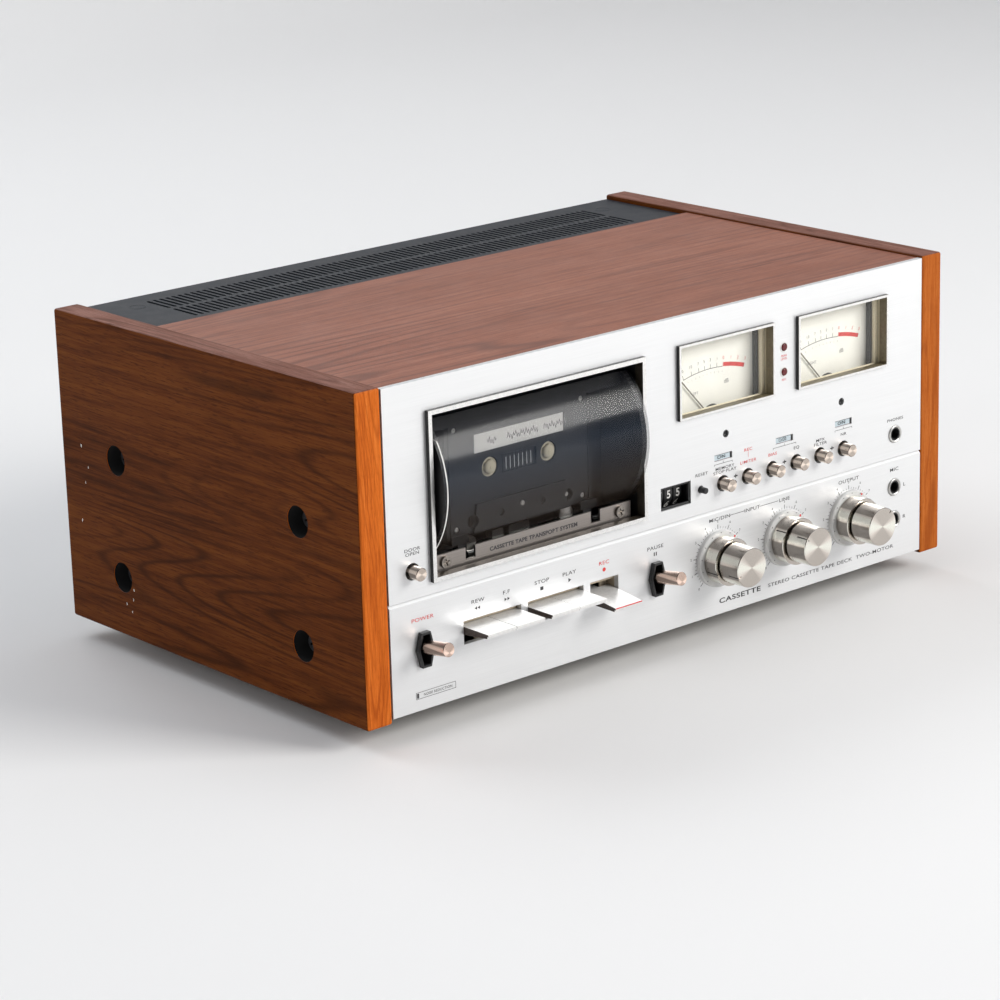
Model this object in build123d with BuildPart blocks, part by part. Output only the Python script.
"""Front-loading cassette deck with wooden side panels.

Millimetres. +X is to the right seen from the front, +Y runs to the rear and +Z is up.
The origin is on the surface that the feet stand on, under the middle of the whole box.
Inside the script a place is given by its x, its depth behind the front face of the wood and its
height above the lower edge of the wood. The three plane functions below turn that into planes.
"""

import os
from math import cos, radians, sin, sqrt

from build123d import *

os.makedirs("parts", exist_ok=True)

# Case
WIDTH = 450.0
SIDE_THICKNESS = 17.0
SIDE_HEIGHT = 186.0
SIDE_DEPTH = 278.0
SIDE_EDGE = 1.5
FOOT_HEIGHT = 12.0
KNOB_REACH = 27.5
SOCKET_REACH = 9.5
FRONT = -(SIDE_DEPTH + SOCKET_REACH - KNOB_REACH) / 2
PANEL_HALF = WIDTH / 2 - SIDE_THICKNESS - 0.5
PANEL = 3.5
PANEL_LOW = 2.8
PANEL_SPLIT = 66.2
PANEL_TOP = 184.8
BOARD_TOP = 184.7
BOARD_LOW = 172.5
BOARD_REAR = 202.0
COVER_TOP = 183.2
SHEET = 1.2
FLOOR = 3.5
FLOOR_TOP = FLOOR + SHEET
REAR_PANEL_FRONT = 274.8
REAR_FACE = REAR_PANEL_FRONT + SHEET
SIDE_SCREW_PLACES = [(d, h) for d in (53.5, 223.5) for h in (35.4, 105.5)]
SCREW_SEAT = 10.0
FOOT_PLACES = [(x, d) for x in (-165, 165) for d in (50, 232)]

# Cassette bay: its middle, the bezel around it and the window's arc
BAY_X = -100.0
BAY_MIDDLE = 120.35
BAY_BEZEL = (157.0, 94.7)
BEZEL_RIM = 2.5
BEZEL_PROUD = 2.6
BAY_SLEEVE = 1.0
BAY_FLOOR = 72.6
BAY_ROOF = 166.4
BAY_HALF = 77.2
BAY_BACK = 34.0
BAY_WALL = 2.0
DOOR_HALF = 73.4
DOOR_HINGE = (14.0, 77.0)
WINDOW_CENTRE = (42.0, 122.6)
WINDOW_RADIUS = 52.0
WINDOW_THICKNESS = 2.2
WINDOW_ENDS = (86.5, 160.0)
PLATE_SCREW = 63.8
DOOR_ARM = 45.7

# Compact cassette: standard outline, and the hubs' spacing of 42.5
TAPE_HALF = 50.2
TAPE_LOW = 87.0
TAPE_TOP = 150.8
TAPE_FRONT = 16.0
TAPE_THICK = 9.0
HUB_HEIGHT = 121.6
HUB_OFFSET = 21.25
CAPSTAN = (35.0, 93.8)

# Meters, lamps and counter
METER_XS = (42.6, 138.2)
METER_MIDDLE = 146.7
METER_BEZEL = (76.0, 43.6)
METER_RIM = 1.4
METER_PROUD = 2.3
METER_SLEEVE = 0.7
METER_DIAL = 12.5
NEEDLE_PIVOT = 116.4
NEEDLE_REST = 42.5
NEEDLE_LENGTH = 38.0
ADJUST_HEIGHT = 110.0
LED_X = 90.1
LED_HEIGHTS = (152.1, 137.4)
LED_RADIUS = 2.35
SIGN_XS = (40.4, 90.3, 140.0)
SIGN_HEIGHT = 96.8
SIGN_SIZE = (14.3, 3.9)
COUNTER_WINDOW = (-9.2, 14.3, 74.6, 88.1)
COUNTER_AXLE = (16.5, 81.35)
WHEEL_RADIUS = 10.5
WHEEL_WIDTH = 6.6
WHEEL_PITCH = 7.2

# Controls
BUTTON_NAMES = ("memory", "limiter", "bias", "equalizer", "filter", "noise_reduction")
BUTTON_XS = (40.0, 60.0, 80.0, 100.0, 120.0, 140.0)
BUTTON_HEIGHT = 81.0
BUTTON_RADIUS = 3.7
BUTTON_REACH = 7.7
BUTTON_HOLE = 4.8
STEM_RADIUS = 1.6
OPEN_BUTTON = (-190.8, 81.7)
RESET_BUTTON = (22.3, 81.0)
JACK_PLACES = ((184.8, 80.8), (184.4, 47.6), (184.4, 27.3))
JACK_RADIUS = 3.25
JACK_HOLE = 5.5
LEVERS = {"power_lever": (-185.3, 37.2), "pause_lever": (-14.2, 36.4)}
LEVER_TILT = 9.5
LEVER_PIVOT = 6.0
LEVER_RADIUS = 3.9
LEVER_REACH = 21.5
KEY_SLOTS = ((-156.9, -115.4), (-110.6, -69.3), (-64.3, -42.9))
SLOT_HEIGHTS = (32.2, 45.5)
KEY_WIDTH = 20.3
KEY_PIVOT = (42.0, 38.0)
KEYS = {
    "rewind_key": (-146.45, 0),
    "fast_forward_key": (-125.85, 0),
    "stop_key": (-100.15, 0),
    "play_key": (-79.75, 0),
    "record_key": (-53.6, 6.9),
}
KNOB_NAMES = ("mic", "line", "output")
KNOB_XS = (35.4, 90.0, 144.7)
KNOB_HEIGHT = 37.2
KNOB_POINTERS = (111, 55, -40)
REAR_KNOB_RADIUS = 14.0
FRONT_KNOB_RADIUS = 12.0
COLLAR_RADIUS = 17.0


# Planes and plain shapes -------------------------------------------------------------------


def facing(depth):
    """Upright plane at this depth: x to the right, y up, and extrude comes to the front."""
    return Plane(origin=(0, FRONT + depth, FOOT_HEIGHT), x_dir=(1, 0, 0), z_dir=(0, -1, 0))


def across(x):
    """Upright plane seen from the side: x is the depth, y is the height, extrude goes to +X."""
    return Plane(origin=(x, FRONT, FOOT_HEIGHT), x_dir=(0, 1, 0), z_dir=(1, 0, 0))


def level(height):
    """Flat plane at this height: x to the right, y is the depth, and extrude goes up."""
    return Plane(origin=(0, FRONT, FOOT_HEIGHT + height), x_dir=(1, 0, 0), z_dir=(0, 0, 1))


def block(xs, depths, heights, mode=Mode.ADD):
    """A rectangular block between two xs, two depths and two heights."""
    with BuildSketch(facing(depths[1])) as outline:
        with Locations(((xs[0] + xs[1]) / 2, (heights[0] + heights[1]) / 2)):
            Rectangle(xs[1] - xs[0], heights[1] - heights[0])
    extrude(outline.sketch, amount=depths[1] - depths[0], mode=mode)


def rod(x, height, radius, depths, mode=Mode.ADD):
    """A round rod, or with Mode.SUBTRACT a hole, that runs front to rear."""
    with BuildSketch(facing(depths[1])) as outline:
        with Locations((x, height)):
            Circle(radius)
    extrude(outline.sketch, amount=depths[1] - depths[0], mode=mode)


def shaft(xs, place, radius, mode=Mode.ADD):
    """A round shaft, or a hole, that runs left to right at a (depth, height)."""
    with BuildSketch(across(xs[0])) as outline:
        with Locations(place):
            Circle(radius)
    extrude(outline.sketch, amount=xs[1] - xs[0], mode=mode)


def post(x, depth, radius, heights, mode=Mode.ADD):
    """A round post, or a hole, that runs upwards."""
    with BuildSketch(level(heights[0])) as outline:
        with Locations((x, depth)):
            Circle(radius)
    extrude(outline.sketch, amount=heights[1] - heights[0], mode=mode)


def screw(seat, head_radius, head_height, shank_radius, shank_length):
    """A pan-head screw with a cross recess. The plane seat is under its head and faces out."""
    with BuildSketch(seat) as head:
        Circle(head_radius)
    extrude(head.sketch, amount=head_height, taper=8)
    with BuildSketch(seat) as shank:
        Circle(shank_radius)
    extrude(shank.sketch, amount=-shank_length)
    with BuildSketch(seat.offset(head_height)) as recess:
        Rectangle(1.2 * head_radius, 0.24 * head_radius)
        Rectangle(0.24 * head_radius, 1.2 * head_radius)
    extrude(recess.sketch, amount=-0.6 * head_height, mode=Mode.SUBTRACT)


def save(piece, name):
    piece.part.label = name
    export_step(piece.part, f"parts/{name}.step")


# Wooden case -------------------------------------------------------------------------------

with BuildPart() as side_panels:
    block((-WIDTH / 2, -WIDTH / 2 + SIDE_THICKNESS), (0, SIDE_DEPTH), (0, SIDE_HEIGHT))
    fillet(side_panels.edges(), SIDE_EDGE)
    for depth, height in SIDE_SCREW_PLACES:
        shaft((-WIDTH / 2, -WIDTH / 2 + SCREW_SEAT), (depth, height), 9, mode=Mode.SUBTRACT)
        shaft((-WIDTH / 2, -WIDTH / 2 + SIDE_THICKNESS), (depth, height), 2.5, mode=Mode.SUBTRACT)
    mirror(about=Plane.YZ)
save(side_panels, "side_panels")

with BuildPart() as top_board:
    block((-PANEL_HALF, PANEL_HALF), (PANEL + 0.3, BOARD_REAR), (BOARD_LOW, BOARD_TOP))
    fillet(top_board.edges().filter_by(Axis.X).group_by(Axis.Z)[-1], 0.6)
save(top_board, "top_board")

# Sheet metal -------------------------------------------------------------------------------

COVER_FRONT = BOARD_REAR + 1
COVER_REAR = REAR_FACE + SHEET

with BuildPart() as rear_top_cover:
    block((-PANEL_HALF, PANEL_HALF), (COVER_FRONT, COVER_REAR), (COVER_TOP - SHEET, COVER_TOP))
    fillet(rear_top_cover.edges().filter_by(Axis.X).group_by(Axis.Z)[-1], 0.8)
    block((-PANEL_HALF, PANEL_HALF), (COVER_FRONT, COVER_FRONT + SHEET), (BOARD_LOW, COVER_TOP - SHEET))
    block((-PANEL_HALF, PANEL_HALF), (REAR_FACE, COVER_REAR), (166, COVER_TOP - SHEET))
    with BuildSketch(level(COVER_TOP - SHEET)):
        with Locations((0, 223.4), (0, 250.0)):
            with GridLocations(4.44, 1, 78, 1):
                SlotOverall(23, 2.2, rotation=90)
    extrude(amount=SHEET, mode=Mode.SUBTRACT)
save(rear_top_cover, "rear_top_cover")

with BuildPart() as base_chassis:
    block((-PANEL_HALF, PANEL_HALF), (PANEL + 0.5, REAR_PANEL_FRONT), (FLOOR, FLOOR_TOP))
    for side in (-1, 1):
        wall = sorted((side * PANEL_HALF, side * (PANEL_HALF - 2)))
        block(wall, (6, REAR_PANEL_FRONT), (FLOOR, BOARD_LOW))
        for depth, height in SIDE_SCREW_PLACES:
            shaft(wall, (depth, height), 2, mode=Mode.SUBTRACT)
    for x in (-161, -113, -66.8, -39.5):
        block((x - 1.5, x + 1.5), (36, 48), (FLOOR_TOP, 43))
    shaft((-163, -37), KEY_PIVOT, 2, mode=Mode.SUBTRACT)
    for x in (0, 185):
        for depth in (68, 157):
            post(x, depth, 3.5, (FLOOR_TOP, 18))
    for x, depth in FOOT_PLACES:
        post(x, depth, 2, (FLOOR, FLOOR_TOP), mode=Mode.SUBTRACT)
    with BuildSketch(level(FLOOR)):
        with Locations((-90, 150), (140, 110)):
            with GridLocations(8, 1, 12, 1):
                SlotOverall(34, 3, rotation=90)
    extrude(amount=SHEET, mode=Mode.SUBTRACT)
save(base_chassis, "base_chassis")

DIN_SOCKET = (-84.0, 72.0)
CORD_GLAND = (150.0, 32.0)
REAR_SCREWS = [(x, h) for x in (-195, 0, 195) for h in (14, 150)]

with BuildPart() as rear_panel:
    block((-205, 205), (REAR_PANEL_FRONT, REAR_FACE), (FLOOR_TOP, COVER_TOP - SHEET - 0.3))
    rod(*DIN_SOCKET, 8, (REAR_PANEL_FRONT, REAR_FACE), mode=Mode.SUBTRACT)
    rod(*CORD_GLAND, 5.5, (REAR_PANEL_FRONT, REAR_FACE), mode=Mode.SUBTRACT)
    for x, height in REAR_SCREWS:
        rod(x, height, 1.5, (REAR_PANEL_FRONT, REAR_FACE), mode=Mode.SUBTRACT)
save(rear_panel, "rear_panel")

with BuildPart() as feet:
    for x, depth in FOOT_PLACES:
        with BuildSketch(level(-FOOT_HEIGHT)) as sole:
            with Locations((x, depth)):
                Circle(13)
        extrude(sole.sketch, amount=FOOT_HEIGHT + FLOOR, taper=4)
    fillet(feet.edges().filter_by(GeomType.CIRCLE).group_by(Axis.Z)[0], 1)
    for x, depth in FOOT_PLACES:
        post(x, depth, 5.5, (-FOOT_HEIGHT, -5), mode=Mode.SUBTRACT)
        post(x, depth, 2, (-5, FLOOR), mode=Mode.SUBTRACT)
save(feet, "feet")

with BuildPart() as case_screws:
    for side in (-1, 1):
        for depth, height in SIDE_SCREW_PLACES:
            head_seat = Plane(
                origin=(side * (WIDTH / 2 - SCREW_SEAT), FRONT + depth, FOOT_HEIGHT + height),
                x_dir=(0, side, 0.5),
                z_dir=(side, 0, 0),
            )
            screw(head_seat, 5.2, 3, 2, 12)
    for offset in (-PLATE_SCREW, PLATE_SCREW):
        plate_seat = Plane(
            origin=(BAY_X + offset, FRONT + 5.5, FOOT_HEIGHT + 79.8), x_dir=(1, 0, 0.3), z_dir=(0, -1, 0)
        )
        screw(plate_seat, 3.5, 1.5, 1.25, 6.5)
    for x, depth in FOOT_PLACES:
        under = Plane(origin=(x, FRONT + depth, FOOT_HEIGHT - 5), x_dir=(1, 0, 0), z_dir=(0, 0, -1))
        screw(under, 4, 2.4, 2, 11)
    for x, height in REAR_SCREWS:
        behind = Plane(
            origin=(x, FRONT + REAR_FACE, FOOT_HEIGHT + height), x_dir=(-1, 0, 0), z_dir=(0, 1, 0)
        )
        screw(behind, 3, 1.4, 1.5, 6)
save(case_screws, "case_screws")

# Front panels ------------------------------------------------------------------------------


def window_cut(x, height, size, rim, sleeve):
    """The opening in the panel that a bezel's sleeve fills."""
    half_width = size[0] / 2 - rim + sleeve
    half_height = size[1] / 2 - rim + sleeve
    block(
        (x - half_width, x + half_width),
        (0, PANEL),
        (height - half_height, height + half_height),
        mode=Mode.SUBTRACT,
    )


def escutcheon_outline(place, inset):
    """Long six-sided outline of a lever's surround, smaller by inset."""
    x, height = place
    end_half = 3.0 - 0.6 * inset
    middle_half = 5.6 - inset
    end = 9.9 - inset
    with Locations((x, height)):
        Polygon(
            (end_half, end),
            (-end_half, end),
            (-middle_half, 0),
            (-end_half, -end),
            (end_half, -end),
            (middle_half, 0),
            align=None,
        )


with BuildPart() as upper_front_panel:
    block((-PANEL_HALF, PANEL_HALF), (0, PANEL), (PANEL_SPLIT, PANEL_TOP))
    window_cut(BAY_X, BAY_MIDDLE, BAY_BEZEL, BEZEL_RIM, BAY_SLEEVE)
    for x in METER_XS:
        window_cut(x, METER_MIDDLE, METER_BEZEL, METER_RIM, METER_SLEEVE)
        rod(x, ADJUST_HEIGHT, 2.3, (0, PANEL), mode=Mode.SUBTRACT)
    for height in LED_HEIGHTS:
        rod(LED_X, height, LED_RADIUS + 0.1, (0, PANEL), mode=Mode.SUBTRACT)
    for x in SIGN_XS:
        block(
            (x - SIGN_SIZE[0] / 2, x + SIGN_SIZE[0] / 2),
            (0, PANEL),
            (SIGN_HEIGHT - SIGN_SIZE[1] / 2, SIGN_HEIGHT + SIGN_SIZE[1] / 2),
            mode=Mode.SUBTRACT,
        )
    block(COUNTER_WINDOW[:2], (0, PANEL), COUNTER_WINDOW[2:], mode=Mode.SUBTRACT)
    rod(*RESET_BUTTON, 2.3, (0, PANEL), mode=Mode.SUBTRACT)
    rod(*OPEN_BUTTON, BUTTON_HOLE, (0, PANEL), mode=Mode.SUBTRACT)
    for x in BUTTON_XS:
        rod(x, BUTTON_HEIGHT, BUTTON_HOLE, (0, PANEL), mode=Mode.SUBTRACT)
    rod(*JACK_PLACES[0], JACK_HOLE, (0, PANEL), mode=Mode.SUBTRACT)
save(upper_front_panel, "upper_front_panel")

with BuildPart() as lower_front_panel:
    block((-PANEL_HALF, PANEL_HALF), (0, PANEL), (PANEL_LOW, PANEL_SPLIT))
    top_edges = lower_front_panel.edges().filter_by(Axis.X).group_by(Axis.Z)[-1]
    chamfer(top_edges.sort_by(Axis.Y)[0], 2)
    for slot_xs in KEY_SLOTS:
        block(slot_xs, (0, PANEL), SLOT_HEIGHTS, mode=Mode.SUBTRACT)
    with BuildSketch(facing(PANEL)):
        for place in LEVERS.values():
            escutcheon_outline(place, 0.4)
    extrude(amount=PANEL, mode=Mode.SUBTRACT)
    for x in KNOB_XS:
        rod(x, KNOB_HEIGHT, 4.8, (0, PANEL), mode=Mode.SUBTRACT)
    for x, height in JACK_PLACES[1:]:
        rod(x, height, JACK_HOLE, (0, PANEL), mode=Mode.SUBTRACT)
save(lower_front_panel, "lower_front_panel")


def bezel(x, height, size, rim, proud, sleeve):
    """A frame that stands out in front of the panel, with a sleeve through its opening."""
    outer = (size[0] / 2, size[1] / 2)
    inner = (outer[0] - rim, outer[1] - rim)
    lining = (inner[0] + sleeve, inner[1] + sleeve)
    for half, depths, mode in (
        (outer, (-proud, 0), Mode.ADD),
        (lining, (0, PANEL), Mode.ADD),
        (inner, (-proud, PANEL), Mode.SUBTRACT),
    ):
        block((x - half[0], x + half[0]), depths, (height - half[1], height + half[1]), mode=mode)


with BuildPart() as window_bezels:
    bezel(BAY_X, BAY_MIDDLE, BAY_BEZEL, BEZEL_RIM, BEZEL_PROUD, BAY_SLEEVE)
    for x in METER_XS:
        bezel(x, METER_MIDDLE, METER_BEZEL, METER_RIM, METER_PROUD, METER_SLEEVE)
save(window_bezels, "window_bezels")

# Cassette bay ------------------------------------------------------------------------------

SPINDLE_XS = {"supply": BAY_X - HUB_OFFSET, "takeup": BAY_X + HUB_OFFSET}
CAPSTAN_PLACE = (BAY_X + CAPSTAN[0], CAPSTAN[1])
GUIDE_PINS = (BAY_X - 24, BAY_X + 24)
PLATE_TOP = 84.4

with BuildPart() as cassette_bay:
    block(
        (BAY_X - BAY_HALF - BAY_WALL, BAY_X + BAY_HALF + BAY_WALL),
        (PANEL, BAY_BACK + BAY_WALL),
        (BAY_FLOOR - BAY_WALL, BAY_ROOF + BAY_WALL),
    )
    block(
        (BAY_X - BAY_HALF, BAY_X + BAY_HALF),
        (PANEL, BAY_BACK),
        (BAY_FLOOR, BAY_ROOF),
        mode=Mode.SUBTRACT,
    )
    for offset in (-PLATE_SCREW, PLATE_SCREW):
        block((BAY_X + offset - 4, BAY_X + offset + 4), (7, 12), (BAY_FLOOR, PLATE_TOP))
        rod(BAY_X + offset, 79.8, 1.25, (7, 12), mode=Mode.SUBTRACT)
    for x in SPINDLE_XS.values():
        rod(x, HUB_HEIGHT, 3.06, (BAY_BACK, BAY_BACK + BAY_WALL), mode=Mode.SUBTRACT)
    rod(*CAPSTAN_PLACE, 1.26, (BAY_BACK, BAY_BACK + BAY_WALL), mode=Mode.SUBTRACT)
    for x in GUIDE_PINS:
        post(x, 24, 1.56, (BAY_FLOOR - BAY_WALL, BAY_FLOOR), mode=Mode.SUBTRACT)
    shaft((BAY_X - 90, BAY_X + 90), DOOR_HINGE, 1.5, mode=Mode.SUBTRACT)
    block((OPEN_BUTTON[0] - 9, BAY_X - BAY_HALF - BAY_WALL), (6, 24), (75, 88.4))
    rod(*OPEN_BUTTON, 4.6, (6, 10), mode=Mode.SUBTRACT)
    rod(*OPEN_BUTTON, STEM_RADIUS + 0.1, (10, 24), mode=Mode.SUBTRACT)
save(cassette_bay, "cassette_bay")

with BuildPart() as bay_nameplate:
    block((BAY_X - 72.5, BAY_X + 72.5), (5.5, 7), (74.8, PLATE_TOP))
    for offset in (-DOOR_ARM, DOOR_ARM):
        block(
            (BAY_X + offset - 3.5, BAY_X + offset + 3.5), (5.5, 7), (77.6, PLATE_TOP), mode=Mode.SUBTRACT
        )
    for offset in (-PLATE_SCREW, PLATE_SCREW):
        rod(BAY_X + offset, 79.8, 1.25, (5.5, 7), mode=Mode.SUBTRACT)
save(bay_nameplate, "bay_nameplate")

with BuildPart() as pivot_rods:
    shaft((BAY_X - BAY_HALF - BAY_WALL, BAY_X + BAY_HALF + BAY_WALL), DOOR_HINGE, 1.5)
    shaft((-163, -37), KEY_PIVOT, 2)
save(pivot_rods, "pivot_rods")

# Door: carrier, window and the cassette in it ----------------------------------------------


def arc_depth(radius, height):
    """Depth of the window's arc, of this radius, at a height."""
    return WINDOW_CENTRE[0] - sqrt(radius**2 - (height - WINDOW_CENTRE[1]) ** 2)


INNER_RADIUS = WINDOW_RADIUS - WINDOW_THICKNESS
CHEEK_LOW = 88.2
CHEEK_TOP = 159.0
CARRIER_REAR = 28.8

with BuildPart() as door_carrier:
    for cheek_x in (BAY_X - DOOR_HALF, BAY_X + DOOR_HALF - 3.3):
        with BuildSketch(across(cheek_x)) as cheek:
            with BuildLine():
                ThreePointArc(
                    (arc_depth(INNER_RADIUS, CHEEK_LOW), CHEEK_LOW),
                    (WINDOW_CENTRE[0] - INNER_RADIUS, WINDOW_CENTRE[1]),
                    (arc_depth(INNER_RADIUS, CHEEK_TOP), CHEEK_TOP),
                )
                Polyline(
                    (arc_depth(INNER_RADIUS, CHEEK_TOP), CHEEK_TOP),
                    (24, CHEEK_TOP),
                    (CARRIER_REAR, 152),
                    (CARRIER_REAR, 92),
                    (24, CHEEK_LOW),
                    (arc_depth(INNER_RADIUS, CHEEK_LOW), CHEEK_LOW),
                )
            make_face()
        extrude(cheek.sketch, amount=3.3)
    block((BAY_X - DOOR_HALF, BAY_X + DOOR_HALF), (CARRIER_REAR - 2, CARRIER_REAR), (92, 152))
    block((BAY_X - DOOR_HALF + 3, BAY_X + DOOR_HALF - 3), (9.5, 13.5), (151.6, CHEEK_TOP))
    for side in (-1, 1):
        ledge = sorted((BAY_X + side * 41, BAY_X + side * 53))
        rail = sorted((BAY_X + side * (TAPE_HALF + 0.5), BAY_X + side * 53))
        block(ledge, (CARRIER_REAR - 2, CARRIER_REAR), (84.2, 92))
        block(ledge, (12.2, CARRIER_REAR), (84.2, TAPE_LOW - 0.2))
        block(ledge, (12.2, 13.5), (84.2, 89))
        block(rail, (TAPE_FRONT, CARRIER_REAR), (84.2, 148))
        arm = sorted((BAY_X + side * (DOOR_ARM - 3), BAY_X + side * (DOOR_ARM + 3)))
        block(arm, (12.2, 17), (DOOR_HINGE[1], 84.2))
        shaft(arm, DOOR_HINGE, 3.3)
        shaft(arm, DOOR_HINGE, 1.56, mode=Mode.SUBTRACT)
    block((BAY_X - 40, BAY_X + 40), (CARRIER_REAR - 2, CARRIER_REAR), (84, 139), mode=Mode.SUBTRACT)
save(door_carrier, "door_carrier")

with BuildPart() as door_window:
    with BuildSketch(across(BAY_X - DOOR_HALF)):
        with BuildLine():
            outer_arc = ThreePointArc(
                (arc_depth(WINDOW_RADIUS, WINDOW_ENDS[0]), WINDOW_ENDS[0]),
                (WINDOW_CENTRE[0] - WINDOW_RADIUS, WINDOW_CENTRE[1]),
                (arc_depth(WINDOW_RADIUS, WINDOW_ENDS[1]), WINDOW_ENDS[1]),
            )
            inner_arc = ThreePointArc(
                (arc_depth(INNER_RADIUS, WINDOW_ENDS[0]), WINDOW_ENDS[0]),
                (WINDOW_CENTRE[0] - INNER_RADIUS, WINDOW_CENTRE[1]),
                (arc_depth(INNER_RADIUS, WINDOW_ENDS[1]), WINDOW_ENDS[1]),
            )
            Line(outer_arc @ 0, inner_arc @ 0)
            Line(outer_arc @ 1, inner_arc @ 1)
        make_face()
    extrude(amount=2 * DOOR_HALF)
save(door_window, "door_window")

TAPE_REAR = TAPE_FRONT + TAPE_THICK
RIB = 1.5

with BuildPart() as cassette_shell:
    block((BAY_X - TAPE_HALF, BAY_X + TAPE_HALF), (TAPE_FRONT, TAPE_REAR), (TAPE_LOW, TAPE_TOP))
    fillet(cassette_shell.edges().filter_by(Axis.Y).group_by(Axis.Z)[-1], 3)
    with BuildSketch(facing(TAPE_REAR + RIB)) as rib:
        with Locations((BAY_X, 0)):
            Polygon(
                (-35, TAPE_LOW),
                (35, TAPE_LOW),
                (32.5, TAPE_LOW + 16),
                (-32.5, TAPE_LOW + 16),
                align=None,
            )
    extrude(rib.sketch, amount=TAPE_THICK + 2 * RIB)
    for x in SPINDLE_XS.values():
        rod(x, HUB_HEIGHT, 5.8, (TAPE_FRONT, TAPE_REAR), mode=Mode.SUBTRACT)
    block(
        (BAY_X - 41.5, BAY_X + 41.5),
        (TAPE_FRONT + 1.3, TAPE_REAR - 0.8),
        (TAPE_LOW, TAPE_LOW + 11),
        mode=Mode.SUBTRACT,
    )
    for side in (-1, 1):
        hole_x = BAY_X + side * CAPSTAN[0]
        rod(hole_x, CAPSTAN[1], 3.5, (TAPE_FRONT - RIB, TAPE_REAR + RIB), mode=Mode.SUBTRACT)
        notch = (hole_x - 5.4, hole_x + 5.4)
        block(notch, (TAPE_REAR - 0.8, TAPE_REAR + RIB), (TAPE_LOW, CAPSTAN[1]), mode=Mode.SUBTRACT)
        for height in (TAPE_LOW + 4, TAPE_TOP - 4):
            rod(BAY_X + side * 46, height, 1.7, (TAPE_FRONT, TAPE_FRONT + 0.8), mode=Mode.SUBTRACT)
        rod(BAY_X + side * 15, TAPE_LOW + 8, 2, (TAPE_FRONT - RIB, TAPE_FRONT), mode=Mode.SUBTRACT)
    block(
        (BAY_X - 12, BAY_X + 12),
        (TAPE_FRONT, TAPE_FRONT + 0.8),
        (HUB_HEIGHT - 5, HUB_HEIGHT + 5),
        mode=Mode.SUBTRACT,
    )
save(cassette_shell, "cassette_shell")

# Tape drive --------------------------------------------------------------------------------

for reel, x in SPINDLE_XS.items():
    with BuildPart() as hub:
        with BuildSketch(facing(TAPE_REAR - 1)):
            with Locations((x, HUB_HEIGHT)):
                Circle(5.4)
                Circle(4.2, mode=Mode.SUBTRACT)
                with PolarLocations(3.9, 6):
                    Rectangle(1.4, 1.3)
        extrude(amount=TAPE_THICK - 2)
    save(hub, f"{reel}_hub")

    with BuildPart() as spindle:
        rod(x, HUB_HEIGHT, 2, (14.6, 30))
        chamfer(spindle.edges().filter_by(GeomType.CIRCLE).sort_by(Axis.Y)[0], 1.2)
        with BuildSketch(facing(30)) as fins:
            with Locations((x, HUB_HEIGHT)):
                with PolarLocations(1.8, 3, start_angle=30):
                    Rectangle(3, 1)
        extrude(fins.sketch, amount=10.6)
        rod(x, HUB_HEIGHT, 10, (30, 32.6))
        rod(x, HUB_HEIGHT, 3, (32.6, 45))
        rod(x, HUB_HEIGHT, 10, (37, 41))
    save(spindle, f"{reel}_spindle")

with BuildPart() as capstan_flywheel:
    rod(*CAPSTAN_PLACE, 1.2, (17.2, 60))
    rod(*CAPSTAN_PLACE, 28, (43, 55))
    rod(*CAPSTAN_PLACE, 22, (52, 55), mode=Mode.SUBTRACT)
    rod(*CAPSTAN_PLACE, 5, (52, 57))
save(capstan_flywheel, "capstan_flywheel")

HEAD_DEPTHS = (TAPE_FRONT + 1.8, TAPE_REAR - 1.2)
HEAD_FOOT = 73.4
HEAD_SEAT = 76.0

with BuildPart() as head_block:
    block((BAY_X - 39, BAY_X + 39), (18, 30), (HEAD_FOOT, HEAD_SEAT))
    block((BAY_X - 7.5, BAY_X + 7.5), HEAD_DEPTHS, (HEAD_SEAT, 85))
    block((BAY_X - 19.5, BAY_X - 11.5), HEAD_DEPTHS, (HEAD_SEAT, 84.6))
    fillet(head_block.edges().filter_by(Axis.Y).group_by(Axis.Z)[-1], 2)
    for side, height, radius in ((-1, 81, 4), (1, 82.5, 5)):
        roller_x = BAY_X + side * CAPSTAN[0]
        rod(roller_x, height, radius, (18, 21.5))
        rod(roller_x, height, 1.2, (21.5, HEAD_DEPTHS[1]))
        block((roller_x - 1.8, roller_x + 1.8), (22, HEAD_DEPTHS[1]), (HEAD_SEAT, height))
    for x in GUIDE_PINS:
        post(x, 24, 1.5, (60, HEAD_FOOT))
save(head_block, "head_block")

with BuildPart() as transport_motors:
    rod(BAY_X - 45, 92, 17, (BAY_BACK + BAY_WALL, 70))
    rod(BAY_X - 45, 92, 6, (70, 73))
    rod(BAY_X, 150, 14, (BAY_BACK + BAY_WALL, 72))
    rod(BAY_X, 150, 5, (72, 75))
save(transport_motors, "transport_motors")

# Meters, lamps and counter -----------------------------------------------------------------

with BuildPart() as meter_bodies:
    for x in METER_XS:
        block((x - 38.4, x + 38.4), (PANEL, 28), (107, 169.6))
        block((x - 36.4, x + 36.4), (PANEL, METER_DIAL), (112.6, 167.6), mode=Mode.SUBTRACT)
        rod(x, NEEDLE_PIVOT, 1.06, (METER_DIAL, 18), mode=Mode.SUBTRACT)
save(meter_bodies, "meter_bodies")

with BuildPart() as meter_windows:
    for x in METER_XS:
        block((x - 36.4, x + 36.4), (PANEL + 0.4, PANEL + 1.4), (112.6, 167.6))
save(meter_windows, "meter_windows")

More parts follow.
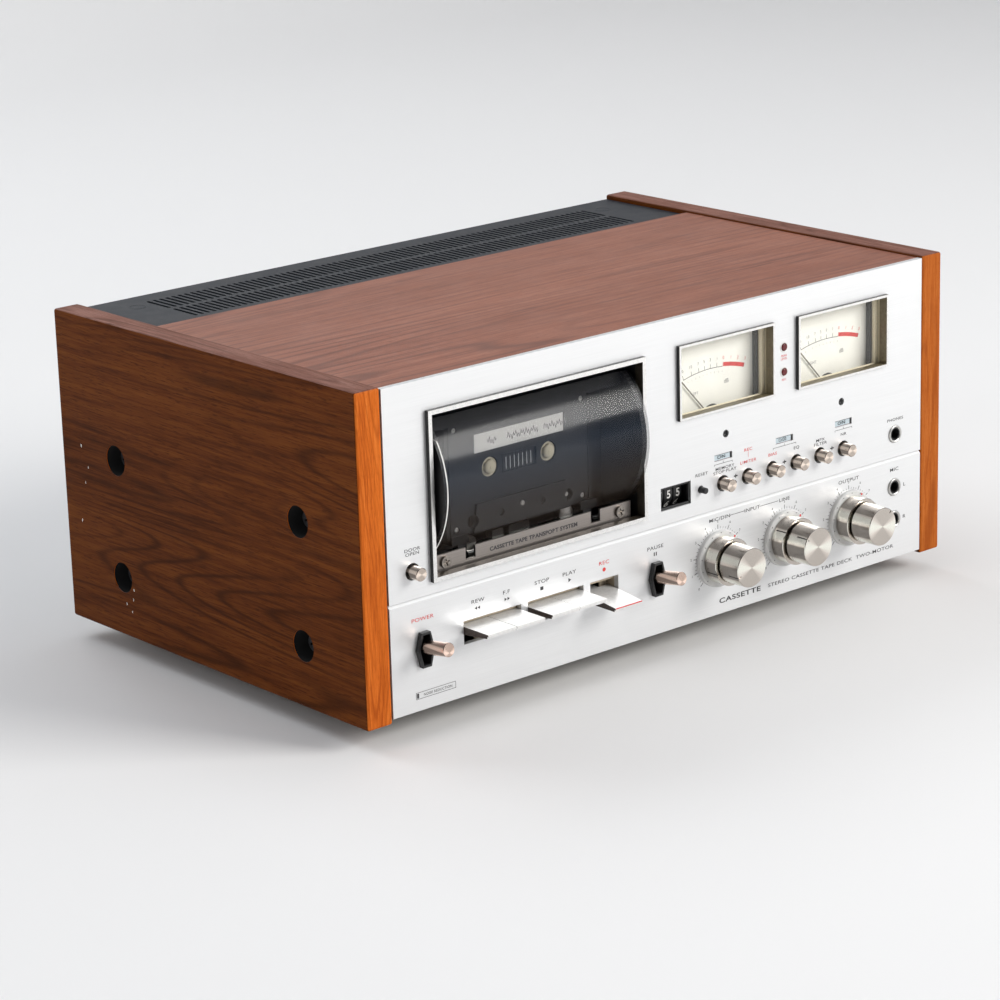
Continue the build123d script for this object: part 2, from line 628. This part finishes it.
for channel, x in zip(("left", "right"), METER_XS):
    with BuildPart() as needle:
        with BuildSketch(facing(10.6)) as blade:
            with Locations((x, NEEDLE_PIVOT)):
                up = (Align.CENTER, Align.MIN)
                Rectangle(0.6, NEEDLE_LENGTH, rotation=NEEDLE_REST, align=up)
                Rectangle(2, 3.5, rotation=NEEDLE_REST + 180, align=up)
        extrude(blade.sketch, amount=0.5)
        rod(x, NEEDLE_PIVOT, 2.6, (9, 11.8))
        rod(x, NEEDLE_PIVOT, 1, (11.8, 17.5))
    save(needle, f"{channel}_meter_needle")

with BuildPart() as indicator_lamps:
    for height in LED_HEIGHTS:
        rod(LED_X, height, LED_RADIUS, (-0.9, 8))
        rod(LED_X, height, 3.2, (PANEL, 9))
    fillet(indicator_lamps.edges().filter_by(GeomType.CIRCLE).group_by(Axis.Y)[0], 0.85)
    for x in SIGN_XS:
        sign = (x - SIGN_SIZE[0] / 2, x + SIGN_SIZE[0] / 2)
        half = SIGN_SIZE[1] / 2
        block(sign, (0.9, PANEL), (SIGN_HEIGHT - half, SIGN_HEIGHT + half))
        block((sign[0] - 1, sign[1] + 1), (PANEL, 9), (SIGN_HEIGHT - half - 1, SIGN_HEIGHT + half + 1))
save(indicator_lamps, "indicator_lamps")

WHEEL_MIDDLE = (COUNTER_WINDOW[0] + COUNTER_WINDOW[1]) / 2

with BuildPart() as counter_housing:
    block((-12, 28), (PANEL, 32), (67.4, 95))
    block((-10, 15.1), (PANEL, 30), (69.4, 93.3), mode=Mode.SUBTRACT)
    rod(*RESET_BUTTON, 1.3, (PANEL, 32), mode=Mode.SUBTRACT)
    rod(*RESET_BUTTON, 2, (PANEL, PANEL + 1.5), mode=Mode.SUBTRACT)
    shaft((-11, 16), COUNTER_AXLE, 1.5)
save(counter_housing, "counter_housing")

for place, name in enumerate(("hundreds", "tens", "ones"), start=-1):
    middle = WHEEL_MIDDLE + place * WHEEL_PITCH
    rim = (middle - WHEEL_WIDTH / 2, middle + WHEEL_WIDTH / 2)
    with BuildPart() as wheel:
        shaft(rim, COUNTER_AXLE, WHEEL_RADIUS)
        chamfer(wheel.edges().filter_by(GeomType.CIRCLE), 0.4)
        shaft(rim, COUNTER_AXLE, 1.56, mode=Mode.SUBTRACT)
    save(wheel, f"counter_wheel_{name}")

# Push buttons ------------------------------------------------------------------------------


def push_button(x, height, radius, reach, stem, shoulder, stem_end):
    """A round button with a thinner stem behind its shoulder."""
    rod(x, height, radius, (-reach, shoulder))
    rod(x, height, stem, (shoulder, stem_end))


PUSH_BUTTONS = [(f"{name}_button", x, BUTTON_HEIGHT) for name, x in zip(BUTTON_NAMES, BUTTON_XS)]
PUSH_BUTTONS.append(("door_open_button", *OPEN_BUTTON))

for name, x, height in PUSH_BUTTONS:
    with BuildPart() as button:
        push_button(x, height, BUTTON_RADIUS, BUTTON_REACH, STEM_RADIUS, 1, 18)
        chamfer(button.edges().filter_by(GeomType.CIRCLE).sort_by(Axis.Y)[0], 0.35)
    save(button, name)

with BuildPart() as counter_reset_button:
    push_button(*RESET_BUTTON, 1.8, 4.5, 1.2, 0.2, 18)
    chamfer(counter_reset_button.edges().filter_by(GeomType.CIRCLE).sort_by(Axis.Y)[0], 0.3)
save(counter_reset_button, "counter_reset_button")

with BuildPart() as circuit_board:
    block((-8, 193), (60, 165), (18, 19.6))
    for x, depth in ((20, 85), (45, 85), (20, 140), (95, 150), (150, 80), (170, 80)):
        post(x, depth, 6.5, (19.6, 42))
    for x, depth in ((60, 120), (95, 90), (125, 120)):
        block((x - 10, x + 10), (depth - 4, depth + 4), (19.6, 25))
    block((32, 148), (PANEL, 24), (74, 88))
    for x in BUTTON_XS:
        rod(x, BUTTON_HEIGHT, 4.6, (PANEL, 10), mode=Mode.SUBTRACT)
        rod(x, BUTTON_HEIGHT, STEM_RADIUS + 0.1, (10, 24), mode=Mode.SUBTRACT)
save(circuit_board, "circuit_board")

# Levers ------------------------------------------------------------------------------------

with BuildPart() as lever_escutcheons:
    with BuildSketch(facing(0)) as flange:
        for place in LEVERS.values():
            escutcheon_outline(place, 0)
    extrude(flange.sketch, amount=3)
    with BuildSketch(facing(9)) as sleeve:
        for place in LEVERS.values():
            escutcheon_outline(place, 0.4)
    extrude(sleeve.sketch, amount=9)
    with BuildSketch(facing(9)) as passage:
        for place in LEVERS.values():
            escutcheon_outline(place, 1.3)
    extrude(passage.sketch, amount=12, mode=Mode.SUBTRACT)
    for x, height in LEVERS.values():
        shaft((x - 6, x + 6), (LEVER_PIVOT, height), 1.36, mode=Mode.SUBTRACT)
save(lever_escutcheons, "lever_escutcheons")

for name, (x, height) in LEVERS.items():
    tilt = radians(LEVER_TILT)
    along = Plane(
        origin=(x, FRONT + LEVER_PIVOT, FOOT_HEIGHT + height),
        x_dir=(1, 0, 0),
        z_dir=(0, -cos(tilt), sin(tilt)),
    )
    tip = (LEVER_REACH + LEVER_PIVOT) / cos(tilt)
    with BuildPart() as lever:
        with BuildSketch(along) as stem:
            Circle(2.2)
        extrude(stem.sketch, amount=12)
        with BuildSketch(along.offset(10.2)) as grip:
            Circle(LEVER_RADIUS)
        extrude(grip.sketch, amount=tip - 10.2)
        chamfer(lever.edges().filter_by(GeomType.CIRCLE).sort_by(Axis.Y)[0], 0.3)
        shaft((x - 3.4, x + 3.4), (LEVER_PIVOT, height), 2.6)
        shaft((x - 5.1, x + 5.1), (LEVER_PIVOT, height), 1.3)
    save(lever, name)

# Transport keys ----------------------------------------------------------------------------

for name, (x, droop) in KEYS.items():
    angle = radians(droop)
    for_blade, for_arm = (
        Plane(
            origin=(x - width / 2, FRONT + KEY_PIVOT[0], FOOT_HEIGHT + KEY_PIVOT[1]),
            x_dir=(0, cos(angle), sin(angle)),
            z_dir=(1, 0, 0),
        )
        for width in (KEY_WIDTH, 8)
    )
    with BuildPart() as key:
        with BuildSketch(for_blade) as blade:
            Polygon(
                (-62, 4.4),
                (-62, 3.2),
                (-61.2, 3.2),
                (-61.2, 2.1),
                (-42, -0.1),
                (-34, -1.5),
                (-34, 4.4),
                align=None,
            )
        extrude(blade.sketch, amount=KEY_WIDTH)
        with BuildSketch(for_arm) as arm:
            Polygon((-36, -1.2), (-3, -3.4), (-3, 3.4), (-36, 3.4), align=None)
            Circle(4.5)
        extrude(arm.sketch, amount=8)
        shaft((x - 4, x + 4), KEY_PIVOT, 2.06, mode=Mode.SUBTRACT)
    save(key, name)

# Level knobs -------------------------------------------------------------------------------

with BuildPart() as knob_collars:
    for x in KNOB_XS:
        rod(x, KNOB_HEIGHT, COLLAR_RADIUS, (-2.8, 0))
    chamfer(knob_collars.edges().filter_by(GeomType.CIRCLE).group_by(Axis.Y)[0], 0.6)
    for x in KNOB_XS:
        rod(x, KNOB_HEIGHT, 5, (-2.8, 0), mode=Mode.SUBTRACT)
save(knob_collars, "knob_collars")

with BuildPart() as level_controls:
    for x in KNOB_XS:
        rod(x, KNOB_HEIGHT, 4.6, (-2.6, 5))
        rod(x, KNOB_HEIGHT, 11, (PANEL + 0.5, 25))
        rod(x, KNOB_HEIGHT, 3.6, (-2.6, 14), mode=Mode.SUBTRACT)
        rod(x, KNOB_HEIGHT, 2.1, (14, 23), mode=Mode.SUBTRACT)
save(level_controls, "level_controls")


def pointer(x, radius, angle, depths, end_mark):
    """A milled flat with a dark line along its middle, and a short mark on the end face."""
    direction = 90 + angle
    flat_distance = sqrt(radius**2 - 3.5**2)
    line_depths = (depths[0], min(depths[1], depths[0] + 8))
    for distance, size, span in (
        (flat_distance + 2, (4, 12), depths),
        (flat_distance, (0.9, 0.7), line_depths),
        (flat_distance - 1, (2.4, 0.7), (depths[0], depths[0] + end_mark)),
    ):
        if span[1] > span[0]:
            with BuildSketch(facing(span[1])) as mark:
                with Locations((x, KNOB_HEIGHT)):
                    with PolarLocations(distance, 1, start_angle=direction):
                        Rectangle(*size)
            extrude(mark.sketch, amount=span[1] - span[0], mode=Mode.SUBTRACT)


for name, x, angle in zip(KNOB_NAMES, KNOB_XS, KNOB_POINTERS):
    with BuildPart() as rear_knob:
        rod(x, KNOB_HEIGHT, REAR_KNOB_RADIUS, (-12.3, -3))
        chamfer(rear_knob.edges().filter_by(GeomType.CIRCLE), 0.35)
        pointer(x, REAR_KNOB_RADIUS, angle, (-12.3, -3), 0)
        rod(x, KNOB_HEIGHT, 3.5, (-3, 13))
        rod(x, KNOB_HEIGHT, 2.1, (-12.3, 13), mode=Mode.SUBTRACT)
    save(rear_knob, f"{name}_rear_knob")

    with BuildPart() as front_knob:
        with BuildSketch(across(x)):
            with Locations((0, KNOB_HEIGHT)):
                Polygon(
                    (-KNOB_REACH, 0),
                    (-KNOB_REACH, FRONT_KNOB_RADIUS - 0.85),
                    (-KNOB_REACH + 0.35, FRONT_KNOB_RADIUS - 0.5),
                    (-13.65, FRONT_KNOB_RADIUS),
                    (-13.3, FRONT_KNOB_RADIUS - 0.35),
                    (-13.3, 0),
                    align=None,
                )
        revolve(axis=Axis((x, FRONT, FOOT_HEIGHT + KNOB_HEIGHT), (0, 1, 0)))
        pointer(x, FRONT_KNOB_RADIUS, angle, (-KNOB_REACH, -13.3), 0.4)
        rod(x, KNOB_HEIGHT, 2.04, (-13.3, 22))
    save(front_knob, f"{name}_front_knob")

# Sockets and the inside of the case --------------------------------------------------------

with BuildPart() as front_jacks:
    for x, height in JACK_PLACES:
        block((x - 7, x + 7), (PANEL, 34), (height - 7, height + 7))
        rod(x, height, 4.5, (-0.4, PANEL))
        rod(x, height, JACK_RADIUS, (-0.4, 32), mode=Mode.SUBTRACT)
save(front_jacks, "front_jacks")

PHONO_PLACES = [(x, h) for x in (-160, -140, -120) for h in (62, 82)]
SOCKET_END = SIDE_DEPTH + SOCKET_REACH

with BuildPart() as rear_sockets:
    block((-172, -108), (REAR_FACE, REAR_FACE + 1.5), (52, 92))
    for x, height in PHONO_PLACES:
        rod(x, height, 4.15, (REAR_FACE + 1.5, SOCKET_END))
        rod(x, height, 1.6, (SOCKET_END - 8, SOCKET_END), mode=Mode.SUBTRACT)
    rod(*DIN_SOCKET, 9.5, (REAR_FACE, REAR_FACE + 2))
    rod(*DIN_SOCKET, 8, (266, REAR_FACE))
    rod(*DIN_SOCKET, 6.75, (268, REAR_FACE + 2), mode=Mode.SUBTRACT)
    rod(*CORD_GLAND, 7.5, (REAR_FACE, REAR_FACE + 3))
    rod(*CORD_GLAND, 5.5, (270, REAR_FACE))
    rod(*CORD_GLAND, 3.5, (270, REAR_FACE + 3), mode=Mode.SUBTRACT)
save(rear_sockets, "rear_sockets")

with BuildPart() as power_transformer:
    block((92, 152), (192, 240), (FLOOR_TOP, FLOOR_TOP + 50))
    block((102, 142), (184, 248), (FLOOR_TOP + 9, FLOOR_TOP + 41))
    fillet(power_transformer.edges().filter_by(Axis.Z), 3)
save(power_transformer, "power_transformer")
